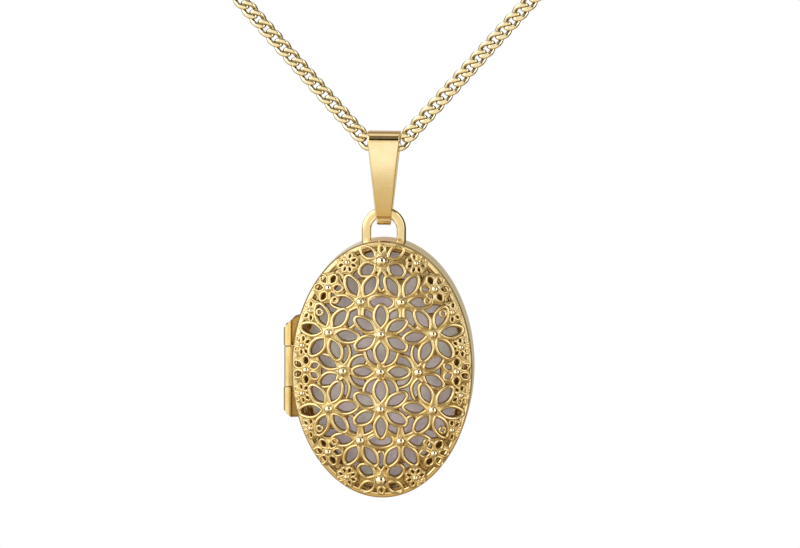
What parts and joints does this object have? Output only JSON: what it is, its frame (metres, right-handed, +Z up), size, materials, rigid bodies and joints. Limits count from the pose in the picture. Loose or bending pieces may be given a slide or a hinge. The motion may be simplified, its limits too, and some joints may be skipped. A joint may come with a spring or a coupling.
{
  "type": "oval filigree locket on a chain",
  "caption": "Oval gold locket with a domed filigree lid set with polished granules, a side hinge, a tapered bail and a curb chain.",
  "frame": {"origin": "middle of the chain inside the bail, the point the pendant hangs from", "axes": "+Z up, along the pendant's height; the filigree front faces -Y; the lid's hinge is on the -X side"},
  "size_m": [0.0474, 0.008, 0.0654],
  "materials": {
    "polished_gold": "polished yellow gold with fine handling scratches",
    "filigree_gold": "bright yellow gold, darker in the recesses",
    "chain_gold": "polished yellow gold, flat-cut link faces",
    "satin_silver": "satin silver, faintly lilac"
  },
  "bodies": {
    "chain": {"chain_left": "chain_gold", "chain_right": "chain_gold", "chain_ring_left": "chain_gold", "chain_ring_right": "chain_gold"},
    "bail": {"bail": "polished_gold"},
    "back": {"back_shell": "polished_gold", "snap_rim": "polished_gold", "silver_plate": "satin_silver", "picture_frame": "polished_gold", "pendant_loop": "polished_gold", "hinge_knuckle_upper": "polished_gold", "hinge_knuckle_lower": "polished_gold", "hinge_pin": "polished_gold"},
    "lid": {"lid_rim": "polished_gold", "filigree_dome": "filigree_gold", "hinge_knuckle_middle": "polished_gold", "granule_01": "filigree_gold", "granule_02": "filigree_gold", "granule_03": "filigree_gold", "granule_04": "filigree_gold", "granule_05": "filigree_gold", "granule_06": "filigree_gold", "granule_07": "filigree_gold", "granule_08": "filigree_gold", "granule_09": "filigree_gold", "granule_10": "filigree_gold", "granule_11": "filigree_gold", "granule_12": "filigree_gold", "granule_13": "filigree_gold", "granule_14": "filigree_gold", "granule_15": "filigree_gold", "granule_16": "filigree_gold", "granule_17": "filigree_gold", "granule_18": "filigree_gold", "granule_19": "filigree_gold", "granule_20": "filigree_gold", "granule_21": "filigree_gold", "granule_22": "filigree_gold", "granule_23": "filigree_gold", "granule_24": "filigree_gold", "granule_25": "filigree_gold", "granule_26": "filigree_gold", "granule_27": "filigree_gold", "granule_28": "filigree_gold", "granule_29": "filigree_gold", "granule_30": "filigree_gold", "granule_31": "filigree_gold", "granule_32": "filigree_gold", "granule_33": "filigree_gold"}
  },
  "joints": [
    {"name": "bail_swing", "type": "hinge", "parent": "chain", "child": "bail", "pos_m": [0, 0, 0], "axis": [1, 0, 0], "range_deg": [-80, 80]},
    {"name": "locket_swing", "type": "hinge", "parent": "bail", "child": "back", "pos_m": [0, 0, -0.00774], "axis": [1, 0, 0], "range_deg": [-70, 70]},
    {"name": "lid_hinge", "type": "hinge", "parent": "back", "child": "lid", "pos_m": [-0.0111, -0.0005, -0.0257], "axis": [0, 0, -1], "range_deg": [0, 170]}
  ]
}
